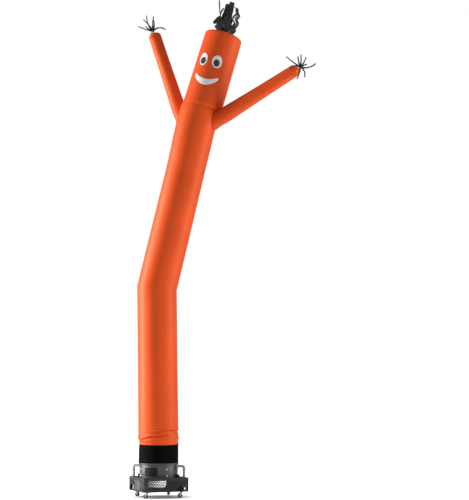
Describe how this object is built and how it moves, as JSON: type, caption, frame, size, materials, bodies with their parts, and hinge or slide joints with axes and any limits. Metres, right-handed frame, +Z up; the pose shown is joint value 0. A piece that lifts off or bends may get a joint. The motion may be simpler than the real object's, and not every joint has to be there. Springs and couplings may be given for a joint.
{
  "type": "inflatable air dancer on a blower",
  "caption": "Tall inflated nylon tube figure with a head, sewn-on face and two fringed arms, held by a collar on the outlet of a square floor blower on casters.",
  "frame": {"origin": "on the floor, under the middle of the whole part's bounding box; the blower's axis stands at x -0.790, y 0.104", "axes": "+Z up, along the dancer's height; +X to the viewer's right, where the dancer leans; -Y to the front, the narrow way of the part along Y"},
  "size_m": [2.2781, 0.9359, 6.2199],
  "materials": {
    "orange_nylon": "thin matte nylon",
    "white_cloth": "matte cloth",
    "black_cloth": "matte cloth",
    "grey_powder_coat": "satin powder coat",
    "black_enamel": "satin",
    "zinc": "zinc plated",
    "black_rubber": "matte"
  },
  "bodies": {
    "dancer_and_blower": {"tube_body": "orange_nylon", "head": "orange_nylon", "arm_right": "orange_nylon", "arm_left": "orange_nylon", "eye_white_left": "white_cloth", "eye_white_right": "white_cloth", "mouth": "white_cloth", "pupil_left": "black_cloth", "pupil_right": "black_cloth", "hair": "black_cloth", "fringe_right": "black_cloth", "fringe_left": "black_cloth", "collar": "black_cloth", "drum": "grey_powder_coat", "flange": "grey_powder_coat", "band": "black_enamel", "outlet_grille": "black_enamel", "motor": "grey_powder_coat", "base_box": "grey_powder_coat", "floor_plate": "grey_powder_coat", "inlet_guide": "grey_powder_coat", "rivet_low": "zinc", "rivet_high": "zinc", "inlet_guide_far": "grey_powder_coat", "rivet_far_low": "zinc", "rivet_far_high": "zinc", "handle_right": "grey_powder_coat", "handle_left": "grey_powder_coat", "block_right": "black_enamel", "block_left": "black_enamel", "label_plate": "black_enamel", "bolt_1_low": "zinc", "bolt_1_high": "zinc", "bolt_2_low": "zinc", "bolt_2_high": "zinc", "bolt_3_low": "zinc", "bolt_3_high": "zinc", "bolt_4_low": "zinc", "bolt_4_high": "zinc", "caster_plate_near": "zinc", "caster_plate_right": "zinc", "caster_plate_far": "zinc", "caster_plate_left": "zinc", "caster_nut_near": "zinc", "caster_nut_right": "zinc", "caster_nut_far": "zinc", "caster_nut_left": "zinc"},
    "fork_near": {"fork_near": "zinc"},
    "fork_right": {"fork_right": "zinc"},
    "fork_far": {"fork_far": "zinc"},
    "fork_left": {"fork_left": "zinc"},
    "wheel_near": {"wheel_near": "black_rubber"},
    "wheel_right": {"wheel_right": "black_rubber"},
    "wheel_far": {"wheel_far": "black_rubber"},
    "wheel_left": {"wheel_left": "black_rubber"}
  },
  "joints": [
    {"name": "swivel_near", "type": "hinge", "parent": "dancer_and_blower", "child": "fork_near", "pos_m": [-0.91446, -0.17554, 0.0705], "axis": [0, 0, 1], "continuous": true},
    {"name": "swivel_right", "type": "hinge", "parent": "dancer_and_blower", "child": "fork_right", "pos_m": [-0.51046, -0.02046, 0.0705], "axis": [0, 0, 1], "continuous": true},
    {"name": "swivel_far", "type": "hinge", "parent": "dancer_and_blower", "child": "fork_far", "pos_m": [-0.66554, 0.38354, 0.0705], "axis": [0, 0, 1], "continuous": true},
    {"name": "swivel_left", "type": "hinge", "parent": "dancer_and_blower", "child": "fork_left", "pos_m": [-1.06954, 0.22846, 0.0705], "axis": [0, 0, 1], "continuous": true},
    {"name": "roll_near", "type": "hinge", "parent": "fork_near", "child": "wheel_near", "pos_m": [-0.93326, -0.1687, 0.029], "axis": [-0.342, -0.9397, 0], "continuous": true},
    {"name": "roll_right", "type": "hinge", "parent": "fork_right", "child": "wheel_right", "pos_m": [-0.52925, -0.0273, 0.029], "axis": [0.342, -0.9397, 0], "continuous": true},
    {"name": "roll_far", "type": "hinge", "parent": "fork_far", "child": "wheel_far", "pos_m": [-0.67554, 0.40087, 0.029], "axis": [-0.866, -0.5, 0], "continuous": true},
    {"name": "roll_left", "type": "hinge", "parent": "fork_left", "child": "wheel_left", "pos_m": [-1.05023, 0.22329, 0.029], "axis": [0.2588, 0.9659, 0], "continuous": true}
  ]
}
